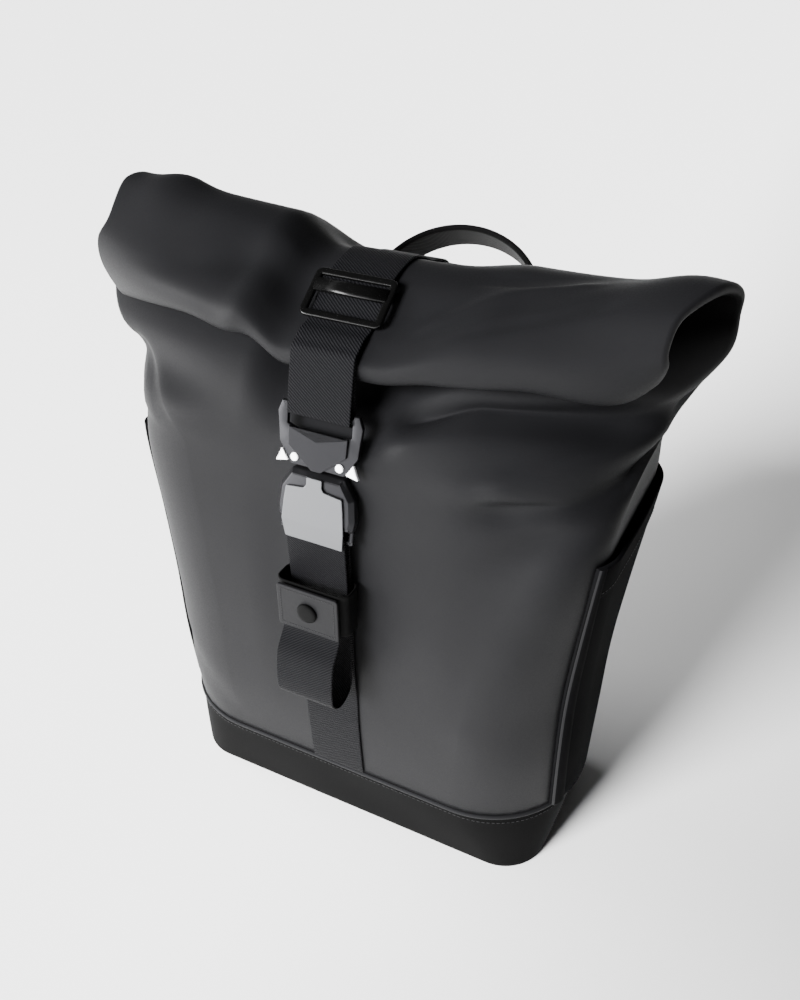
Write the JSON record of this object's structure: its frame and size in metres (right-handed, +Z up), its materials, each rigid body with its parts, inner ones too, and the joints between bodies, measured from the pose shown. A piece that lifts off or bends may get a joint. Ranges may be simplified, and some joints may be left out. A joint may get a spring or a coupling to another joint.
{
  "type": "rolltop backpack",
  "caption": "Rolltop backpack of coated cloth with a stiff base, side pockets, a strap over the rolled mouth, a metal buckle and a snap tab.",
  "frame": {"origin": "on the floor, under the middle of the bag's bounding box", "axes": "+Z up, +X to the right as seen from the front, +Y from the buckle side to the back panel"},
  "size_m": [0.3888, 0.2402, 0.4357],
  "materials": {
    "coated_cloth": "matte charcoal coated cloth",
    "base_cloth": "matte charcoal coated cloth, stiffened",
    "piping": "matte coated cloth, folded",
    "pad_cloth": "matte woven cloth over foam",
    "webbing": "black twill webbing",
    "black_plastic": "gloss black",
    "grey_metal": "satin grey",
    "satin_metal": "satin",
    "white_plastic": "white, satin",
    "leather": "matte dark grey",
    "snap_metal": "satin dark grey"
  },
  "bodies": {
    "root": {"body_shell": "coated_cloth", "rolled_top": "coated_cloth", "base_band": "base_cloth", "seam_welt": "piping", "pocket_left": "coated_cloth", "pocket_right": "coated_cloth", "pocket_binding_left": "piping", "pocket_binding_right": "piping", "shoulder_pad_left": "pad_cloth", "shoulder_pad_right": "pad_cloth", "strap_tail_left": "webbing", "strap_tail_right": "webbing", "top_strap": "webbing", "lower_strap": "webbing", "carry_handle": "webbing", "slider": "black_plastic", "buckle_frame": "grey_metal", "buckle_body": "grey_metal", "buckle_plate": "satin_metal", "buckle_flap": "satin_metal", "buckle_dot_left": "white_plastic", "buckle_dot_right": "white_plastic", "buckle_guide_left": "white_plastic", "buckle_guide_right": "white_plastic", "keeper": "leather", "snap_tab": "leather", "snap_button": "snap_metal"}
  },
  "joints": []
}
